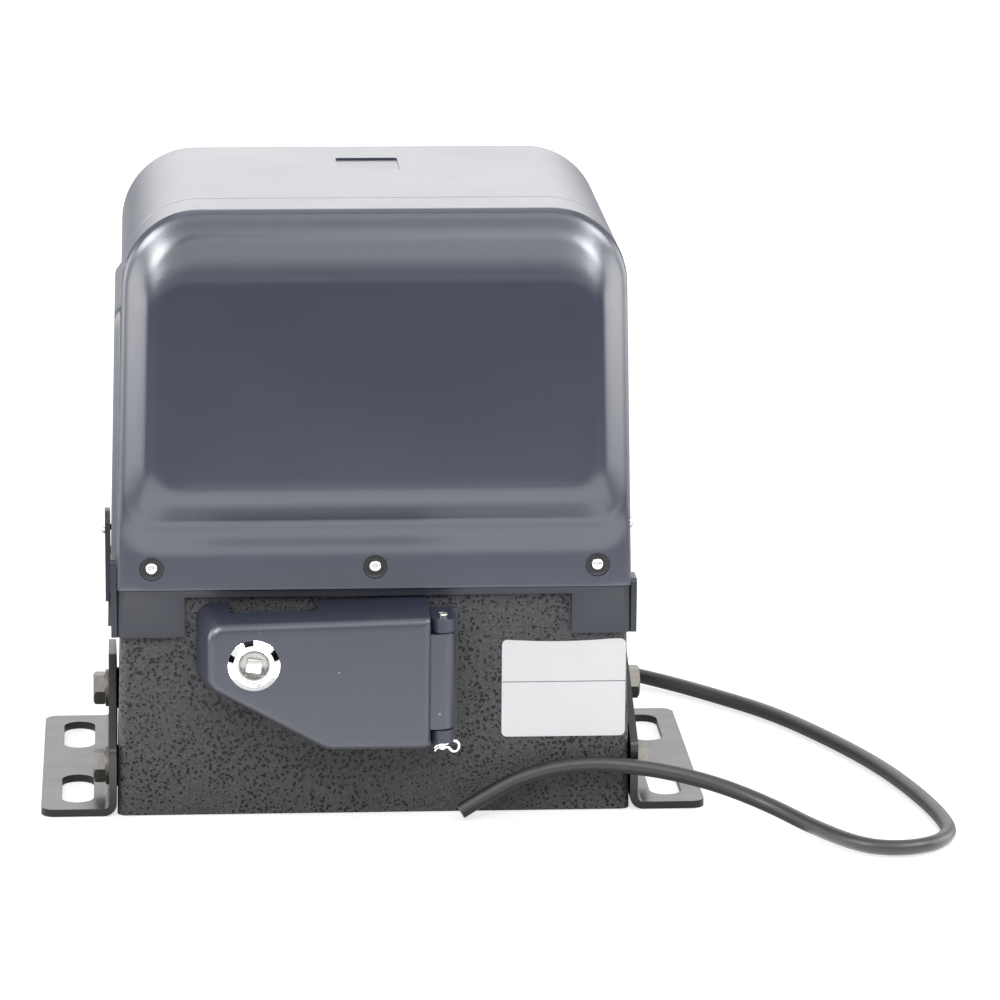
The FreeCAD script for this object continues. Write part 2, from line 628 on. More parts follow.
def hood_solid(wall):
    """The hood's full form, drawn in by wall on every side."""
    low = hood_half_x(HOOD_BOTTOM) - wall
    high = hood_half_x(HOOD_TOP) - wall
    top = HOOD_TOP - wall
    radius = HOOD_TOP_R - wall
    arch = [(-low, HOOD_BOTTOM), (low, HOOD_BOTTOM), (high, top), (-high, top)]
    strip = HOOD_STRIP_Y - wall
    form = polygon_prism(arch, xz(-strip), V(0, 2 * strip, 0), [0, 0, radius, radius])
    for side in (-1, 1):
        sections = [
            hood_section(side * strip, STRIP_TOP + wall, top - 0.6, wall + 0.6, radius - 0.6, 14.0),
            hood_section(side * (HOOD_BAND_Y - wall), BAND_BOTTOM + wall, BAND_TOP - wall,
                         wall + BAND_INSET, radius - BAND_INSET, 16.0),
            hood_section(side * (HOOD_PANEL_Y - wall), PANEL_BOTTOM + wall, PANEL_TOP - wall,
                         wall + PANEL_INSET, 18.0, 14.0),
        ]
        form = form.fuse(Part.makeLoft(sections, True, True))
    return form.removeSplitter()


def side_panel(side):
    z_top = SIDE_PANEL_TOP
    out = SIDE_PANEL_OUT
    points = [(hood_half_x(HOOD_BOTTOM) - 1, HOOD_BOTTOM), (hood_half_x(HOOD_BOTTOM) + out, HOOD_BOTTOM),
              (hood_half_x(z_top) + out, z_top - 6), (hood_half_x(z_top) - 1, z_top + 2)]
    panel = polygon_prism(points, xz(SIDE_PANEL_Y[0]), V(0, SIDE_PANEL_Y[1] - SIDE_PANEL_Y[0], 0))
    if side < 0:
        panel = mirrored_x(panel)
    return panel


def hood_shells():
    outer = hood_solid(0.0)
    inner = hood_solid(HOOD_WALL)
    inner = inner.fuse(hood_block(HOOD_WALL, HOOD_STRIP_Y - HOOD_WALL, HOOD_BOTTOM - 5, HOOD_BOTTOM + 5))
    width, length = EMBLEM_SIZE
    near, away = EMBLEM_Y - length / 2, EMBLEM_Y + length / 2
    ramp = [(near, HOOD_TOP - EMBLEM_DEPTH[0]), (away, HOOD_TOP - EMBLEM_DEPTH[1]),
            (away, HOOD_TOP + 5), (near, HOOD_TOP + 5)]
    emblem = polygon_prism(ramp, yz(EMBLEM_X - width / 2), V(width, 0, 0))
    holes = hood_screw_holes() + lug_holes()
    for x, side in hood_screw_places():
        holes.append(rod_along(V(0, side, 0), COUNTERBORE_R,
                               (x, side * (HOOD_STRIP_Y - COUNTERBORE_DEPTH), HOOD_SCREW_Z), 10))
    body = outer.fuse([side_panel(-1), side_panel(1)])
    body = body.cut([inner, emblem, switch_window()] + holes)
    far = 400.0
    front = body.common(box(-far, far, -far, HOOD_SEAM_Y, 0, far))
    rear = body.common(box(-far, far, HOOD_SEAM_Y, far, 0, far))
    lip_z = HOOD_BOTTOM + SHROUD_UPSTAND + 4
    lip = hood_rib(HOOD_WALL, HOOD_WALL + 1.6, HOOD_SEAM_Y - 6, HOOD_SEAM_Y + 6)
    lip = lip.cut(box(-far, far, -far, far, 0, lip_z))
    return front.fuse(lip).removeSplitter(), rear.removeSplitter()


def hood_rib(outside, inside, y0, y1):
    """Arch-shaped rib inside the hood between two depths below its surface."""
    arches = []
    for depth, grow in ((outside, 0.0), (inside, 1.0)):
        low = hood_half_x(HOOD_BOTTOM) - depth
        high = hood_half_x(HOOD_TOP) - depth
        arch = [(-low, HOOD_BOTTOM), (low, HOOD_BOTTOM), (high, HOOD_TOP - depth), (-high, HOOD_TOP - depth)]
        radius = HOOD_TOP_R - depth
        arches.append(polygon_prism(arch, xz(y0 - grow), V(0, y1 - y0 + 2 * grow, 0), [0, 0, radius, radius]))
    return arches[0].cut(arches[1])


def pan_screw(direction, seat, length):
    """Pan-head screw: the head stands on the seat, against the direction of the thread."""
    head = rod_along(direction * -1, HOOD_SCREW_HEAD_R, seat, HOOD_SCREW_HEAD)
    rim = [e for e in head.Edges if e.Length > 6 * HOOD_SCREW_HEAD_R]
    outer_rim = max(rim, key=lambda e: (e.CenterOfMass - V(*seat)).Length)
    head = head.makeFillet(min(1.2, HOOD_SCREW_HEAD * 0.6), [outer_rim])
    return head.fuse(rod_along(direction, HOOD_SCREW_R, seat, length))


def hood_screws():
    screws = []
    for x, side in hood_screw_places():
        seat = (x, side * (HOOD_STRIP_Y - COUNTERBORE_DEPTH), HOOD_SCREW_Z)
        screws.append(pan_screw(V(0, -side, 0), seat, 12))
    return compound(screws)


def side_screws():
    seat_x = hood_half_x(HOOD_BOTTOM) + SIDE_PANEL_OUT + 0.2 + LUG_THICK
    return compound([pan_screw(V(-side, 0, 0), (side * seat_x, LUG_Y, LUG_SCREW_Z), 12) for side in (-1, 1)])


# ---- gears -----------------------------------------------------------------------------------
def involute_gear(module, teeth, y0, width, thinning):
    """Spur gear on the output axis, one tooth pointing straight up."""
    pitch_r = module * teeth / 2
    base_r = pitch_r * math.cos(math.radians(20))
    tip_r = pitch_r + module
    root_r = pitch_r - 1.25 * module
    half_tooth = (math.pi * module / 2 - thinning) / (2 * pitch_r)

    def half_angle(radius):
        def inv(r):
            ratio = min(1.0, base_r / r)
            return math.tan(math.acos(ratio)) - math.acos(ratio)
        return half_tooth + inv(pitch_r) - inv(radius)

    def point(radius, angle):
        return V(radius * math.sin(angle), y0, AXIS_Z + radius * math.cos(angle))

    start_r = max(base_r, root_r)
    middle_r = (start_r + tip_r) / 2
    edges = []
    step = 2 * math.pi / teeth
    for i in range(teeth):
        c = i * step
        low = half_angle(start_r)
        left = [point(root_r, c - low), point(start_r, c - low), point(middle_r, c - half_angle(middle_r)),
                point(tip_r, c - half_angle(tip_r))]
        right = [point(tip_r, c + half_angle(tip_r)), point(middle_r, c + half_angle(middle_r)),
                 point(start_r, c + low), point(root_r, c + low)]
        following = point(root_r, c + step - low)
        valley = point(root_r, c + step / 2)
        if start_r > root_r:
            edges.append(Part.LineSegment(left[0], left[1]).toShape())
        edges.append(Part.Arc(left[1], left[2], left[3]).toShape())
        edges.append(Part.Arc(left[3], point(tip_r, c), right[0]).toShape())
        edges.append(Part.Arc(right[0], right[1], right[2]).toShape())
        if start_r > root_r:
            edges.append(Part.LineSegment(right[2], right[3]).toShape())
        edges.append(Part.Arc(right[3], valley, following).toShape())
    return prism(Part.Wire(edges), V(0, width, 0))


def drive_pinion():
    teeth = involute_gear(PINION_MODULE, PINION_TEETH, PINION_Y, PINION_WIDTH, 0.2)
    hub = axial(PINION_Y - PINION_HUB, TAIL_R + 6.5, PINION_HUB + 1)
    gear = teeth.fuse(hub)
    return gear.cut([axial(PINION_Y - PINION_HUB - 1, TAIL_R + SEAT_FIT, PINION_WIDTH + PINION_HUB + 2),
                     key_block(SEAT_FIT)])


def key_block(grow):
    half = 4.0 + grow
    z = AXIS_Z + TAIL_R
    y0 = PINION_Y + 1.5 - grow
    return box(-half, half, y0, PINION_Y + PINION_WIDTH - 1.5 + grow, z - 4.0 - grow, z + 3.0 + grow)


def worm_wheel():
    """Wheel with slanted teeth that follow the worm's lead angle."""
    tip_r = WHEEL_PITCH_R + MODULE
    root_r = WHEEL_PITCH_R - 1.25 * MODULE
    slope = math.tan(math.radians(20))
    half_pitch = (math.pi * MODULE / 2 - WHEEL_BACKLASH) / 2
    half_tip = (half_pitch - MODULE * slope) / tip_r
    half_root = (half_pitch + 1.25 * MODULE * slope) / root_r
    twist = MODULE / (2 * WORM_PITCH_R) / WHEEL_PITCH_R
    wires = []
    for y in (WHEEL_FRONT_Y, WHEEL_BACK_Y):
        points = []
        for i in range(WHEEL_TEETH):
            c = (i + 0.5) * 2 * math.pi / WHEEL_TEETH + (y - WHEEL_Y) * twist
            for radius, offset in ((root_r, -half_root), (tip_r, -half_tip), (tip_r, half_tip), (root_r, half_root)):
                points.append((radius * math.cos(c + offset), AXIS_Z - radius * math.sin(c + offset)))
        wires.append(outline(points, [0] * len(points), xz(y)))
    wheel = Part.makeLoft(wires, True, True)
    web = (WHEEL_WIDTH - 10) / 2
    rim_r = root_r - 4
    hub_r = DOG_R + 4
    cuts = [axial(WHEEL_FRONT_Y - 1, SHAFT_R + RUN_FIT, WHEEL_WIDTH + 2)]
    for y in (WHEEL_FRONT_Y - 1, WHEEL_BACK_Y - web):
        cuts.append(tube_along(Y_AXIS, rim_r, hub_r, (0, y, AXIS_Z), web + 1))
    cuts += dog_teeth(WHEEL_FRONT_Y - 1, DOG_TOOTH + 1, DOG_SLOT_FIT)
    return wheel.cut(cuts)


def dog_teeth(y0, length, grow):
    """Radial blocks of the dog clutch, or with grow the slots that take them."""
    blocks = []
    ring = tube_along(Y_AXIS, DOG_R + grow, SPRING_ROOM_R - grow, (0, y0, AXIS_Z), length)
    half = DOG_TOOTH_WIDTH / 2 + grow
    for i in range(DOG_TEETH):
        bar = box(0, DOG_R + 2, y0, y0 + length, AXIS_Z - half, AXIS_Z + half)
        bar.rotate(V(0, 0, AXIS_Z), Y_AXIS, 45 + i * 360 / DOG_TEETH)
        blocks.append(bar.common(ring))
    return blocks


def clutch_dog():
    ring = axial(DOG_FRONT_Y, DOG_R, DOG_LENGTH)
    ring = ring.fuse(dog_teeth(DOG_BACK_Y - 1, DOG_TOOTH + 1, 0.0))
    reach = DOG_R + 5
    return ring.cut([axial(DOG_FRONT_Y - 1, SHAFT_R + RUN_FIT, 2 * DOG_LENGTH),
                     axial(DOG_BACK_Y - SPRING_ROOM, SPRING_ROOM_R, 2 * DOG_LENGTH),
                     rod_along(Z_AXIS, CROSS_PIN_R + SEAT_FIT, (0, CROSS_PIN_Y, AXIS_Z - reach), 2 * reach)])


def clutch_pin():
    reach = DOG_R - 1.5
    return rod_along(Z_AXIS, CROSS_PIN_R, (0, CROSS_PIN_Y, AXIS_Z - reach), 2 * reach)


def clutch_spring():
    wire_r = 0.8
    coil_r = (SHAFT_R + SPRING_ROOM_R) / 2
    start = DOG_BACK_Y - SPRING_ROOM + wire_r + 0.1
    height = WHEEL_FRONT_Y - wire_r - 0.1 - start
    path = Part.makeHelix(height / 3.5, height, coil_r)
    section = Part.Wire(Part.makeCircle(wire_r, V(coil_r, 0, 0), Y_AXIS))
    coil = Part.Wire(path.Edges).makePipeShell([section], True, True)
    coil.rotate(V(0, 0, 0), X_AXIS, -90)
    coil.translate(V(0, start, AXIS_Z))
    return coil


def output_shaft():
    end = PINION_Y + PINION_WIDTH - 0.5
    shaft = axial(NOSE_BEARING_Y, NOSE_R - 0.01, NOSE_SHOULDER_Y - NOSE_BEARING_Y)
    shaft = shaft.fuse([axial(NOSE_SHOULDER_Y - 0.8, SHAFT_R, TAIL_SHOULDER_Y - NOSE_SHOULDER_Y + 0.8),
                        axial(TAIL_SHOULDER_Y - 1, TAIL_R - 0.01, end - TAIL_SHOULDER_Y + 1)])
    slot_front = CROSS_PIN_Y - CROSS_PIN_R - ROD_TRAVEL - 0.4
    slot_back = CROSS_PIN_Y + CROSS_PIN_R + 0.3
    slot_half = CROSS_PIN_R + 0.1
    bore = axial(NOSE_BEARING_Y - 1, ROD_R + 0.1, slot_back - NOSE_BEARING_Y)
    slot = box(-slot_half, slot_half, slot_front, slot_back, AXIS_Z - 20, AXIS_Z + 20)
    tapped = axial(end - 20, 4.0 + SEAT_FIT, 21)
    return shaft.cut([bore, slot, tapped, key_block(SEAT_FIT)]).removeSplitter()


def wheel_stop_ring():
    return tube_along(Y_AXIS, SHAFT_R + 5, SHAFT_R + SEAT_FIT, (0, WHEEL_BACK_Y + 0.1, AXIS_Z), 3)


def pinion_fastener():
    y = PINION_Y + PINION_WIDTH
    washer = axial(y, TAIL_R + 4, 3).cut(axial(y - 1, 4.0 + SEAT_FIT, 5))
    head = prism(hexagon(13.0, lambda p: V(p[0], y + 3, AXIS_Z + p[1])), V(0, 5.3, 0))
    bolt = head.fuse(axial(y - 16, 4.0, 20))
    return washer, bolt


def ball_bearing(size, axis, start):
    """Shielded bearing: two rings with a recessed shield between them."""
    bore, outer, width = size
    ring = tube_along(axis, outer, bore, start, width)
    third = (outer - bore) / 3
    recesses = []
    for offset in (0, width - 0.6):
        place = V(*start) + axis * offset
        recesses.append(tube_along(axis, outer - third * 0.8, bore + third * 0.8, tuple(place), 0.6))
    return ring.cut(recesses)


def worm_shaft():
    pitch = math.pi * MODULE
    root_r = WORM_PITCH_R - 1.25 * MODULE
    tip_r = WORM_PITCH_R + MODULE
    turns = 2 * round(WORM_LENGTH / pitch / 2) + 1
    slope = math.tan(math.radians(20))
    half_tip = (pitch / 2 - 0.5) / 2 - MODULE * slope
    half_root = (pitch / 2 - 0.5) / 2 + (1.25 * MODULE + 0.3) * slope
    helix = Part.makeHelix(pitch, turns * pitch, WORM_PITCH_R)
    section = Part.makePolygon([V(root_r - 0.3, 0, -half_root), V(tip_r, 0, -half_tip),
                                V(tip_r, 0, half_tip), V(root_r - 0.3, 0, half_root),
                                V(root_r - 0.3, 0, -half_root)])
    thread = Part.Wire(helix.Edges).makePipeShell([section], True, True)
    thread.translate(V(0, 0, AXIS_Z - turns * pitch / 2))
    low = LOW_BEARING_Z
    core_low = low + WORM_BEARING[2] + 1
    core_high = HIGH_BEARING_Z - 1
    parts = [
        rod_along(Z_AXIS, root_r, (0, 0, core_low), core_high - core_low),
        rod_along(Z_AXIS, MOTOR_SHAFT_R - 0.01, (0, 0, low), UPPER_SHIELD_TOP - 8 - low),
    ]
    worm = parts[0].fuse([parts[1], thread])
    worm.translate(V(MOTOR_X, MOTOR_Y, 0))
    return worm


# ---- motor -----------------------------------------------------------------------------------
def on_motor(radius, z0, z1, bore=0.0):
    place = (MOTOR_X, MOTOR_Y, z0)
    if bore > 0:
        return tube_along(Z_AXIS, radius, bore, place, z1 - z0)
    return rod_along(Z_AXIS, radius, place, z1 - z0)


UPPER_SHIELD_TOP = STATOR_Z[1] + 30.0
TOP_BEARING_Z = UPPER_SHIELD_TOP - 5.0 - WORM_BEARING[2]
TIE_ROD_R = 2.5
TIE_ROD_RING = STATOR_R - 6.0


def tie_rod_cuts():
    cuts = []
    for i in range(4):
        a = math.radians(45 + 90 * i)
        x = MOTOR_X + TIE_ROD_RING * math.cos(a)
        y = MOTOR_Y + TIE_ROD_RING * math.sin(a)
        cuts.append((x, y))
    return cuts


def with_rod_holes(shape):
    return shape.cut([rod_along(Z_AXIS, TIE_ROD_R + SEAT_FIT, (x, y, BODY_HEIGHT), 200) for x, y in tie_rod_cuts()])


def motor_lower_shield():
    low = BODY_HEIGHT
    cup = on_motor(STATOR_R, low, STATOR_Z[0]).cut(on_motor(STATOR_R - 11, low + SHIELD_WALL, STATOR_Z[0] + 1))
    cup = cup.cut(on_motor(MOTOR_SHAFT_R + 3, low - 1, low + 20))
    return with_rod_holes(cup)


def motor_upper_shield():
    high = UPPER_SHIELD_TOP
    cup = on_motor(STATOR_R, STATOR_Z[1], high)
    cup = cup.cut(on_motor(STATOR_R - 11, STATOR_Z[1] - 1, high - SHIELD_WALL))
    cup = cup.fuse(on_motor(WORM_BEARING[1] + BOSS_WALL, TOP_BEARING_Z, high))
    vents = []
    for i in range(8):
        a = 45 * i
        vent = box(STATOR_R - 14, STATOR_R + 1, -6, 6, STATOR_Z[1] + 6, high - SHIELD_WALL - 6)
        vent.rotate(V(0, 0, 0), Z_AXIS, a)
        vent.translate(V(MOTOR_X, MOTOR_Y, 0))
        vents.append(vent)
    cup = cup.cut([on_motor(WORM_BEARING[1] + SEAT_FIT, TOP_BEARING_Z - 1, TOP_BEARING_Z + WORM_BEARING[2])]
                  + vents)
    cup = cup.cut(on_motor(MOTOR_SHAFT_R + 1, TOP_BEARING_Z, high - 2))
    return with_rod_holes(cup)


def stator_core():
    core = on_motor(STATOR_R, STATOR_Z[0], STATOR_Z[1], STATOR_BORE_R)
    return with_rod_holes(core)


def stator_windings():
    rings = []
    for z0, z1 in ((STATOR_Z[0] - COIL_HEIGHT, STATOR_Z[0]), (STATOR_Z[1], STATOR_Z[1] + COIL_HEIGHT)):
        ring = on_motor(STATOR_R - 13, z0, z1, STATOR_BORE_R + 1)
        far = z0 if z1 == STATOR_Z[0] else z1
        rims = [e for e in ring.Edges if abs(e.BoundBox.ZMin - far) < 0.01 and abs(e.BoundBox.ZMax - far) < 0.01]
        rings.append(ring.makeFillet(3.0, rims))
    return compound(rings)


def tie_rods():
    rods = []
    for x, y in tie_rod_cuts():
        shank = rod_along(Z_AXIS, TIE_ROD_R, (x, y, BODY_HEIGHT + 2), UPPER_SHIELD_TOP - BODY_HEIGHT - 1)
        head = prism(hexagon(8.0, lambda p: V(x + p[0], y + p[1], UPPER_SHIELD_TOP)), V(0, 0, 3.5))
        rods.append(head.fuse(shank))
    return compound(rods)


def motor_rotor():
    core = on_motor(STATOR_BORE_R - ROTOR_GAP, STATOR_Z[0] + 2, STATOR_Z[1] - 2, MOTOR_SHAFT_R + SEAT_FIT)
    for z0, z1 in ((STATOR_Z[0] - 4, STATOR_Z[0] + 2), (STATOR_Z[1] - 2, STATOR_Z[1] + 4)):
        core = core.fuse(on_motor(STATOR_BORE_R - ROTOR_GAP - 3, z0, z1, MOTOR_SHAFT_R + 6))
    return core


# ---- release mechanism -----------------------------------------------------------------------
def door_outline(grow, y, drop=0.0):
    """Door outline; grow widens the left and upper walls, drop draws every wall inwards."""
    slant = grow * 0.5
    points = [(DOOR_LEFT - grow + drop, DOOR_TOP - DOOR_TOP_DIP + grow * 0.8 - drop),
              (DOOR_RIGHT - drop, DOOR_TOP + grow * 0.8 - drop),
              (DOOR_RIGHT - drop, DOOR_BOTTOM + drop),
              (DOOR_SLANT_X + drop * 0.3, DOOR_BOTTOM + drop),
              (DOOR_LEFT - grow + drop, DOOR_SLANT_Z - slant + drop * 0.6)]
    return outline(points, [9.0, 2.0, 3.0, 16.0, 9.0], xz(y))


def release_door():
    back = FRONT - DOOR_BACK_GAP
    outer = Part.makeLoft([door_outline(0, DOOR_FRONT_Y), door_outline(DOOR_FLARE, back)], True, True)
    rim = [e for e in outer.Edges
           if abs(e.BoundBox.YMin - DOOR_FRONT_Y) < 0.01 and abs(e.BoundBox.YMax - DOOR_FRONT_Y) < 0.01]
    outer = outer.makeFillet(1.6, rim)
    inner = Part.makeLoft([door_outline(0, DOOR_FRONT_Y + DOOR_WALL, DOOR_WALL),
                           door_outline(DOOR_FLARE, back + 0.5, DOOR_WALL)], True, True)
    door = outer.cut(inner)
    low, high = BARREL_Z
    barrel = rod_along(Z_AXIS, BARREL_R, (HINGE_X, HINGE_Y, low), high - low)
    web = box(DOOR_RIGHT - 2.5, HINGE_X, HINGE_Y - BARREL_R, HINGE_Y + 2, low, high)
    pad = axial(DOOR_FRONT_Y + 1, 6.0, BUTTON_Y - 0.3 - DOOR_FRONT_Y - 1)
    collar = rod_along(Y_AXIS, LOCK_BODY_R + 3, (LOCK_X, DOOR_FRONT_Y + 1, LOCK_Z), 6)
    door = door.fuse([barrel, web, pad, collar])
    return door.cut([rod_along(Z_AXIS, HINGE_PIN_R + RUN_FIT, (HINGE_X, HINGE_Y, low - 1), high - low + 2),
                     rod_along(Y_AXIS, LOCK_BODY_R + SEAT_FIT, (LOCK_X, DOOR_FRONT_Y - 1, LOCK_Z), 20)])


def hinge_bracket():
    low, high = BARREL_Z
    left = HINGE_X - BARREL_R
    right = HINGE_X + BARREL_R
    plate = box(DOOR_RIGHT + 1.0, right + 3, FRONT - 2.4, FRONT, low - EAR_THICK - EAR_GAP, high + EAR_THICK + EAR_GAP)
    ears = []
    for z in (low - EAR_GAP - EAR_THICK, high + EAR_GAP):
        ear = rod_along(Z_AXIS, BARREL_R, (HINGE_X, HINGE_Y, z), EAR_THICK)
        stem = box(left, right, HINGE_Y, FRONT - 1, z, z + EAR_THICK)
        ears.append(ear.fuse(stem))
    bracket = plate.fuse(ears)
    return bracket.cut(rod_along(Z_AXIS, HINGE_PIN_R + SEAT_FIT, (HINGE_X, HINGE_Y, 0), 200)).removeSplitter()


def hinge_pin():
    low, high = BARREL_Z
    bottom = low - EAR_GAP - EAR_THICK - 4.5
    top = high + EAR_GAP + EAR_THICK
    pin = rod_along(Z_AXIS, HINGE_PIN_R, (HINGE_X, HINGE_Y, bottom), top - bottom)
    head = Part.makeCone(HINGE_PIN_R, HINGE_PIN_HEAD_R, 2.2, V(HINGE_X, HINGE_Y, top))
    return pin.fuse(head).cut(rod_along(X_AXIS, 0.75, (HINGE_X - 5, HINGE_Y, bottom + 2), 10))


def split_pin():
    z = BARREL_Z[0] - EAR_GAP - EAR_THICK - 2.5
    shank = rod_along(X_AXIS, 0.7, (HINGE_X - 4.5, HINGE_Y, z), 8.5)
    eye = Part.makeTorus(1.7, 0.7, V(HINGE_X + 5.4, HINGE_Y, z), Y_AXIS)
    leg = rod_along(V(-0.5, 0, -1).normalize(), 0.7, (HINGE_X - 4.2, HINGE_Y, z), 4)
    return shank.fuse([eye, leg])


def lock_body():
    bezel = Part.makeCone(LOCK_BODY_R + 1.5, LOCK_BEZEL_R, LOCK_BEZEL * 0.6,
                          V(LOCK_X, DOOR_FRONT_Y - LOCK_BEZEL, LOCK_Z), Y_AXIS)
    step = rod_along(Y_AXIS, LOCK_BEZEL_R, (LOCK_X, DOOR_FRONT_Y - LOCK_BEZEL * 0.4, LOCK_Z), LOCK_BEZEL * 0.4)
    barrel = rod_along(Y_AXIS, LOCK_BODY_R, (LOCK_X, DOOR_FRONT_Y - LOCK_BEZEL, LOCK_Z), LOCK_BODY)
    body = bezel.fuse([step, barrel])
    return body.cut(rod_along(Y_AXIS, LOCK_PLUG_R + RUN_FIT, (LOCK_X, DOOR_FRONT_Y - 9, LOCK_Z), 40))


def lock_nut():
    seat = DOOR_FRONT_Y + 7
    nut = prism(hexagon(24.0, lambda p: V(LOCK_X + p[0], seat, LOCK_Z + p[1])), V(0, 4, 0))
    return nut.cut(rod_along(Y_AXIS, LOCK_BODY_R + SEAT_FIT, (LOCK_X, seat - 1, LOCK_Z), 6))


def lock_plug():
    face = DOOR_FRONT_Y - LOCK_BEZEL + 1.6
    back = DOOR_FRONT_Y - LOCK_BEZEL + LOCK_BODY + 0.5
    plug = rod_along(Y_AXIS, LOCK_PLUG_R, (LOCK_X, face, LOCK_Z), back - face)
    recess = box(LOCK_X - 4.2, LOCK_X + 4.2, face - 1, face + 0.8, LOCK_Z - 4.2, LOCK_Z + 4.2)
    stub = box(LOCK_X - 3, LOCK_X + 3, back - 1, back + 3, LOCK_Z - 3, LOCK_Z + 3)
    return plug.cut(recess).fuse(stub)


def lock_shutter():
    face = DOOR_FRONT_Y - LOCK_BEZEL + 1.6
    return box(LOCK_X - 3.7, LOCK_X + 3.7, face - 0.1, face + 0.8, LOCK_Z - 3.7, LOCK_Z + 3.7)


def lock_cam():
    y = DOOR_FRONT_Y - LOCK_BEZEL + LOCK_BODY + 0.5
    points = [(LOCK_X - 7, LOCK_Z - 6), (LOCK_X + 7, LOCK_Z - 6), (LOCK_X + 7, LOCK_Z + 7),
              (LOCK_X - 7, LOCK_Z + 7)]
    head = polygon_prism(points, xz(y), V(0, 2, 0), [3, 3, 3, 3])
    tongue = box(LOCK_X - 5, LOCK_X + 5, y, y + 2, LOCK_Z - 19, LOCK_Z)
    cam = head.fuse(tongue)
    square = 3 + SEAT_FIT
    return cam.cut(box(LOCK_X - square, LOCK_X + square, y - 1, y + 4, LOCK_Z - square, LOCK_Z + square))


def rod_bush():
    depth = NOSE_BEARING_Y - FRONT
    flange = axial(FRONT - 1.5, BUSH_R + 3, 1.5)
    return flange.fuse(axial(FRONT - 1, BUSH_R, depth + 1)).cut(axial(FRONT - 3, ROD_R + RUN_FIT, depth + 6))


def release_rod():
    tip = CROSS_PIN_Y - CROSS_PIN_R - 0.1
    rod = axial(BUTTON_Y, ROD_R, tip - BUTTON_Y)
    button = axial(BUTTON_Y, BUTTON_R, 4)
    rims = [e for e in button.Edges if abs(e.CenterOfMass.y - BUTTON_Y) < 0.01]
    return button.makeFillet(1.0, rims).fuse(rod)


# ---- electrics under the hood ----------------------------------------------------------------
BOARD_LENGTH = 104.0
BOARD_HEIGHT = 96.0
BOARD_IN = 19.0              # the board's end, from the housing's foot
BOARD_X = (BOARD_IN - BODY_HALF_X, BOARD_IN - BODY_HALF_X + BOARD_LENGTH)
BOARD_RISE = 17.0            # above the hood's lower edge
BOARD_BACK = 24.6            # behind the housing's front
BOARD_GAP = 9.0              # from the board's front to its holder
BOARD_Z = (HOOD_BOTTOM + BOARD_RISE, HOOD_BOTTOM + BOARD_RISE + BOARD_HEIGHT)
BOARD_Y = FRONT + BOARD_BACK
BOARD_THICK = 1.6
HOLDER_Y = BOARD_Y + BOARD_GAP
HOLDER_THICK = 3.0
HOLDER_EDGE = 2.0            # the holder is larger than the board by this all round
HOLDER_FOOT = 18.0
HOLDER_RIB = (2.4, 16.0, 60.0)                   # thickness, depth, height
RELAY = (15.5, 15.5, 20.0)                       # width, depth, height
RELAY_PITCH = 22.0
TERMINAL_PITCH = 5.08
TERMINAL_COUNT = 14
TERMINAL_BLOCK = (10.0, 12.0)                    # depth, height
TRANSFORMER = (54.0, 28.0, 48.0)                 # width, stack, height
TRANSFORMER_X = -85.0
TRANSFORMER_Y = 26.0
LAMINATION_LEG = 10.0
COIL_PROUD = 10.0            # the winding stands out of the stack by this much
COIL_FIT = 0.2
CAPACITOR = (-37.0, 48.0)    # X and Y of its axis
CAPACITOR_R = 20.0
CAPACITOR_LENGTH = 78.0
CAPACITOR_RIM = 2.5
CAPACITOR_TAG = (6.0, 0.8, 9.0)                  # width, thickness, height
CAPACITOR_TAG_X = 8.0


def board_corners():
    return [(x, z) for x in (BOARD_X[0] + 5, BOARD_X[1] - 5) for z in (BOARD_Z[0] + 5, BOARD_Z[1] - 5)]


def board_holder():
    x0, x1 = BOARD_X[0] - HOLDER_EDGE, BOARD_X[1] + HOLDER_EDGE
    back = HOLDER_Y + HOLDER_THICK
    rib, rib_depth, rib_height = HOLDER_RIB
    plate = box(x0, x1, HOLDER_Y, back, BODY_HEIGHT, BOARD_Z[1] + HOLDER_EDGE)
    foot = box(x0, x1, HOLDER_Y, HOLDER_Y + HOLDER_FOOT, BODY_HEIGHT, BODY_HEIGHT + HOLDER_THICK)
    ribs = [box(x - rib / 2, x + rib / 2, HOLDER_Y, HOLDER_Y + rib_depth, BODY_HEIGHT, BODY_HEIGHT + rib_height)
            for x in (BOARD_X[0] + 6, BOARD_X[1] - 6)]
    window = box(BOARD_X[0] + 16, BOARD_X[1] - 16, HOLDER_Y - 1, back + 1, BOARD_Z[0] + 14, BOARD_Z[1] - 14)
    return plate.fuse([foot] + ribs).cut(window).removeSplitter()


def board_standoffs():
    start = BOARD_Y + BOARD_THICK
    return compound([rod_along(Y_AXIS, 3.0, (x, start, z), HOLDER_Y - start) for x, z in board_corners()])


def control_board():
    return box(BOARD_X[0], BOARD_X[1], BOARD_Y, BOARD_Y + BOARD_THICK, BOARD_Z[0], BOARD_Z[1])


def terminal_strip():
    """Row of screw terminals along the board's lower edge."""
    z0 = BOARD_Z[0] + 2
    depth, height = TERMINAL_BLOCK
    length = TERMINAL_COUNT * TERMINAL_PITCH
    x0 = (BOARD_X[0] + BOARD_X[1] - length) / 2
    strip = box(x0, x0 + length, BOARD_Y - depth, BOARD_Y, z0, z0 + height)
    cuts = []
    for i in range(TERMINAL_COUNT):
        x = x0 + (i + 0.5) * TERMINAL_PITCH
        cuts.append(box(x - 1.6, x + 1.6, BOARD_Y - depth - 1, BOARD_Y - depth / 2, z0 + 2, z0 + 5.5))
    return strip.cut(cuts)


def board_relays():
    width, depth, height = RELAY
    top = BOARD_Z[1] - 14
    places = [BOARD_X[0] + 14 + i * RELAY_PITCH for i in range(4)]
    return compound([box(x, x + width, BOARD_Y - depth, BOARD_Y, top - height, top) for x in places])


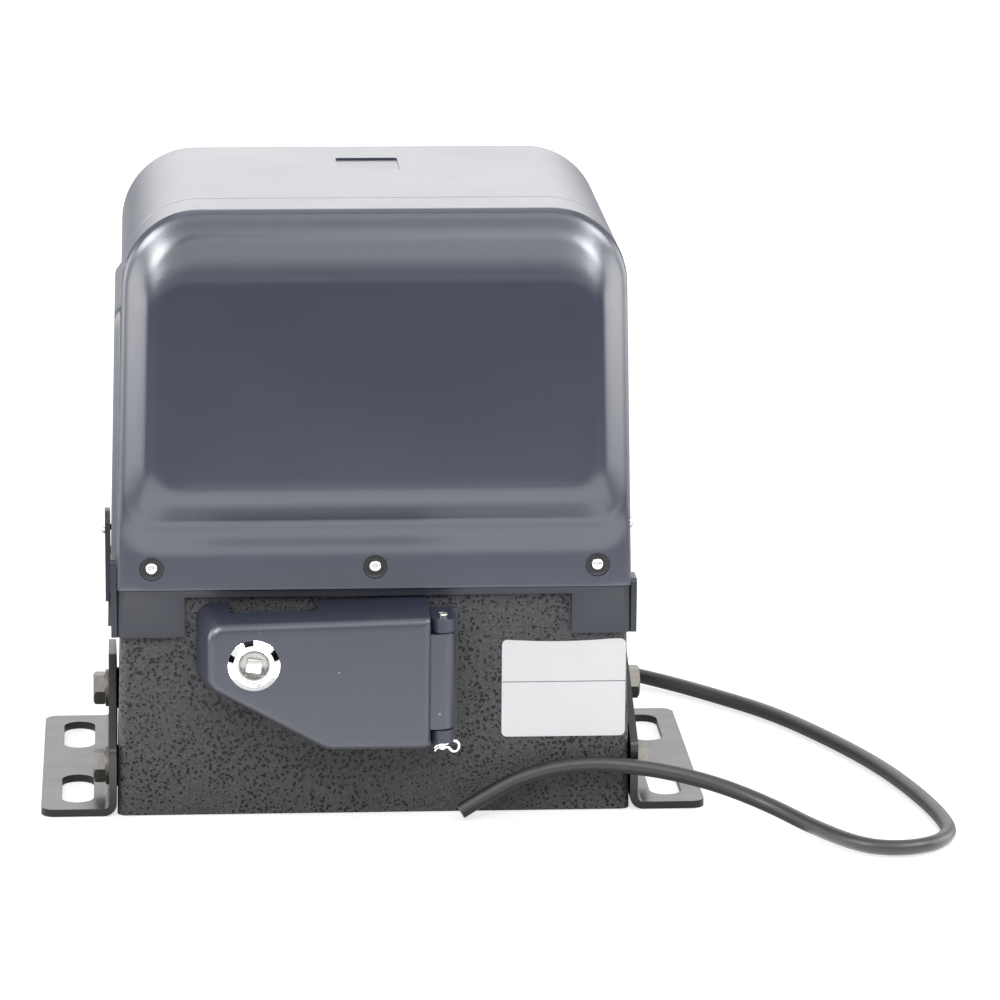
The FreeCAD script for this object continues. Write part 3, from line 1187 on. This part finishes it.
def transformer():
    """Laminated core with two windows, and the winding on its middle leg."""
    width, stack, height = TRANSFORMER
    x0, x1 = TRANSFORMER_X - width / 2, TRANSFORMER_X + width / 2
    y0, y1 = TRANSFORMER_Y - stack / 2, TRANSFORMER_Y + stack / 2
    z0, z1 = BODY_HEIGHT, BODY_HEIGHT + height
    leg = LAMINATION_LEG
    slot = (width - 4 * leg) / 2 + 2
    core = box(x0, x1, y0, y1, z0, z1)
    gaps = [box(x0 + leg, x0 + leg + slot, y0 - leg, y1 + leg, z0 + leg, z1 - leg),
            box(x1 - leg - slot, x1 - leg, y0 - leg, y1 + leg, z0 + leg, z1 - leg)]
    core = core.cut(gaps)
    coil = box(x0 + leg + COIL_FIT, x1 - leg - COIL_FIT, y0 - COIL_PROUD, y1 + COIL_PROUD,
               z0 + leg + COIL_FIT, z1 - leg - COIL_FIT)
    upright = [e for e in coil.Edges if abs(e.tangentAt(e.FirstParameter).z) > 0.9]
    coil = coil.makeFillet(leg / 2, upright)
    post = box(x0 + leg + slot, x1 - leg - slot, y0, y1, z0 + leg - 1, z1 - leg + 1)
    return core, coil.cut(post).cut(core)


def motor_capacitor():
    x, y = CAPACITOR
    top = BODY_HEIGHT + CAPACITOR_LENGTH
    width, thick, height = CAPACITOR_TAG
    can = rod_along(Z_AXIS, CAPACITOR_R, (x, y, BODY_HEIGHT), CAPACITOR_LENGTH)
    rim = [e for e in can.Edges if abs(e.CenterOfMass.z - top) < 0.01]
    can = can.makeFillet(CAPACITOR_RIM, rim)
    tags = [box(x + dx - width / 2, x + dx + width / 2, y - thick / 2, y + thick / 2, top - 1, top + height - 1)
            for dx in (-CAPACITOR_TAG_X, CAPACITOR_TAG_X)]
    return can.fuse(tags)


# ---- limit switch, gland, cord, label --------------------------------------------------------
def limit_switch_body():
    low, high = SWITCH_Z
    body = box(-SWITCH_HALF_X, SWITCH_HALF_X, SWITCH_FRONT_Y, SWITCH_BACK_Y, low, high)
    edges = [e for e in body.Edges if abs(e.CenterOfMass.y - SWITCH_BACK_Y) < 0.01]
    body = body.makeFillet(3.0, edges)
    foot = box(-SWITCH_HALF_X, SWITCH_HALF_X, SWITCH_FRONT_Y, BACK - SHROUD_FLANGE_IN - 1, BODY_HEIGHT, low + 1)
    socket = rod_along(Z_AXIS, 7.0, (0, WAND_Y, high - 1), 3)
    well = rod_along(Z_AXIS, 6.0, (0, WAND_Y, high - 2), 10)
    return body.fuse([foot, socket]).cut(well).removeSplitter()


def limit_wand():
    """Spring wand: close coil from the pivot up, with a rigid tip."""
    z0 = SWITCH_Z[1]
    pivot = Part.makeSphere(4.0, V(0, WAND_Y, z0 + 2))
    coil = [rod_along(Z_AXIS, 2.0, (0, WAND_Y, z0 + 2), WAND_LENGTH - 2)]
    rings = 12
    pitch = 2.4
    for i in range(rings):
        coil.append(Part.makeTorus(2.9, 1.3, V(0, WAND_Y, z0 + 8 + i * pitch)))
    tip = rod_along(Z_AXIS, 3.6, (0, WAND_Y, z0 + 8 + rings * pitch), 6)
    knob = Part.makeSphere(3.4, V(0, WAND_Y, z0 + WAND_LENGTH))
    return pivot.fuse(coil + [tip, knob])


def cable_gland():
    nut = prism(hexagon(GLAND_FLATS, lambda p: V(GLAND_X + p[0], BACK, GLAND_Z + p[1])), V(0, GLAND_NUT, 0))
    boot = Part.makeCone(GLAND_BOOT_R, CORD_R + GLAND_LIP, GLAND_BOOT,
                         V(GLAND_X, BACK + GLAND_NUT, GLAND_Z), Y_AXIS)
    thread = rod_along(Y_AXIS, GLAND_THREAD_R, (GLAND_X, BACK - BODY_WALL, GLAND_Z), BODY_WALL + 1)
    return boot.fuse([nut, thread])


def gland_nut():
    y = BACK - BODY_WALL - GLAND_LOCKNUT
    nut = hexagon(GLAND_FLATS, lambda p: V(GLAND_X + p[0], y, GLAND_Z + p[1]))
    return prism(nut, V(0, GLAND_LOCKNUT, 0))


def mains_cord():
    points = [V(*p) for p in [CORD_START] + CORD_ROUTE]
    edges = []
    last = points[0]
    radii = []
    for i in range(1, len(points) - 1):
        back = points[i - 1] - points[i]
        ahead = points[i + 1] - points[i]
        turn = math.pi - back.getAngle(ahead)
        reach = 0.45 * min(back.Length, ahead.Length)
        radius = reach / math.tan(turn / 2)
        radii.append(radius)
        back.normalize()
        ahead.normalize()
        start = points[i] + back * reach
        end = points[i] + ahead * reach
        middle = points[i] + (back + ahead).normalize() * (radius / math.cos(turn / 2) - radius)
        edges.append(Part.LineSegment(last, start).toShape())
        edges.append(Part.Arc(start, middle, end).toShape())
        last = end
    edges.append(Part.LineSegment(last, points[-1]).toShape())
    path = Part.Wire(edges)
    first = (points[1] - points[0]).normalize()
    section = Part.Wire(Part.makeCircle(CORD_R, points[0], first))
    cord = path.makePipeShell([section], True, True)
    print("cord: length %.1f, volume / (section x length) %.4f" % (
        path.Length, cord.Volume / (math.pi * CORD_R ** 2 * path.Length)))
    print("cord radii:", " ".join("%.0f" % r for r in radii))
    return cord


def rating_label():
    left, right = LABEL_RIGHT - LABEL_WIDTH, LABEL_RIGHT
    top = LABEL_BASE + LABEL_HEIGHT
    points = [(left, LABEL_BASE), (right, LABEL_BASE), (right, top), (left, top)]
    return polygon_prism(points, xz(FRONT - LABEL_THICK), V(0, LABEL_THICK, 0), [3, 3, 3, 3])


# ---- everything ------------------------------------------------------------------------------
def build():
    front_shell, rear_shell = hood_shells()
    washer, bolt = pinion_fastener()
    core, coil = transformer()
    motor_at = (MOTOR_X, MOTOR_Y)
    bracket = right_bracket()
    return {
        "gearbox_housing": gearbox_housing(),
        "bottom_cover": bottom_cover(),
        "cover_screws": cover_screws(),
        "right_bracket": bracket,
        "left_bracket": mirrored_x(bracket),
        "bracket_bolts": bracket_bolts(),
        "bracket_washers": bracket_washers(),
        "lower_shroud": lower_shroud(),
        "hood_front_shell": front_shell,
        "hood_rear_shell": rear_shell,
        "hood_screws": hood_screws(),
        "side_screws": side_screws(),
        "output_shaft": output_shaft(),
        "front_bearing": ball_bearing(NOSE_BEARING, Y_AXIS, (0, NOSE_BEARING_Y, AXIS_Z)),
        "rear_bearing": ball_bearing(TAIL_BEARING, Y_AXIS, (0, TAIL_BEARING_Y, AXIS_Z)),
        "shaft_seal": tube_along(Y_AXIS, TAIL_BEARING[1], TAIL_R, (0, BACK + HUB_OUT - SEAL_WIDTH - 0.5, AXIS_Z),
                                 SEAL_WIDTH),
        "drive_pinion": drive_pinion(),
        "pinion_key": key_block(0.0),
        "pinion_washer": washer,
        "pinion_bolt": bolt,
        "worm_wheel": worm_wheel(),
        "wheel_stop_ring": wheel_stop_ring(),
        "clutch_dog": clutch_dog(),
        "clutch_pin": clutch_pin(),
        "clutch_spring": clutch_spring(),
        "release_rod": release_rod(),
        "rod_bush": rod_bush(),
        "worm_shaft": worm_shaft(),
        "worm_lower_bearing": ball_bearing(WORM_BEARING, Z_AXIS, motor_at + (LOW_BEARING_Z,)),
        "worm_upper_bearing": ball_bearing(WORM_BEARING, Z_AXIS, motor_at + (HIGH_BEARING_Z,)),
        "motor_top_bearing": ball_bearing(WORM_BEARING, Z_AXIS, motor_at + (TOP_BEARING_Z,)),
        "motor_rotor": motor_rotor(),
        "stator_core": stator_core(),
        "stator_windings": stator_windings(),
        "motor_lower_shield": motor_lower_shield(),
        "motor_upper_shield": motor_upper_shield(),
        "motor_tie_rods": tie_rods(),
        "release_door": release_door(),
        "hinge_bracket": hinge_bracket(),
        "hinge_pin": hinge_pin(),
        "split_pin": split_pin(),
        "lock_body": lock_body(),
        "lock_nut": lock_nut(),
        "lock_plug": lock_plug(),
        "lock_shutter": lock_shutter(),
        "lock_cam": lock_cam(),
        "board_holder": board_holder(),
        "board_standoffs": board_standoffs(),
        "control_board": control_board(),
        "terminal_strip": terminal_strip(),
        "board_relays": board_relays(),
        "transformer_core": core,
        "transformer_coil": coil,
        "motor_capacitor": motor_capacitor(),
        "limit_switch_body": limit_switch_body(),
        "limit_wand": limit_wand(),
        "cable_gland": cable_gland(),
        "gland_nut": gland_nut(),
        "mains_cord": mains_cord(),
        "rating_label": rating_label(),
    }


os.makedirs("parts", exist_ok=True)
for name, shape in build().items():
    solids = shape.Solids
    if not solids or not shape.isValid():
        print("CHECK", name, "solids", len(solids), "valid", shape.isValid())
    result = solids[0] if len(solids) == 1 else compound(solids)
    result.exportStep("parts/%s.step" % name)
    print("%-20s %2d solids %9.1f mm3" % (name, len(solids), result.Volume))
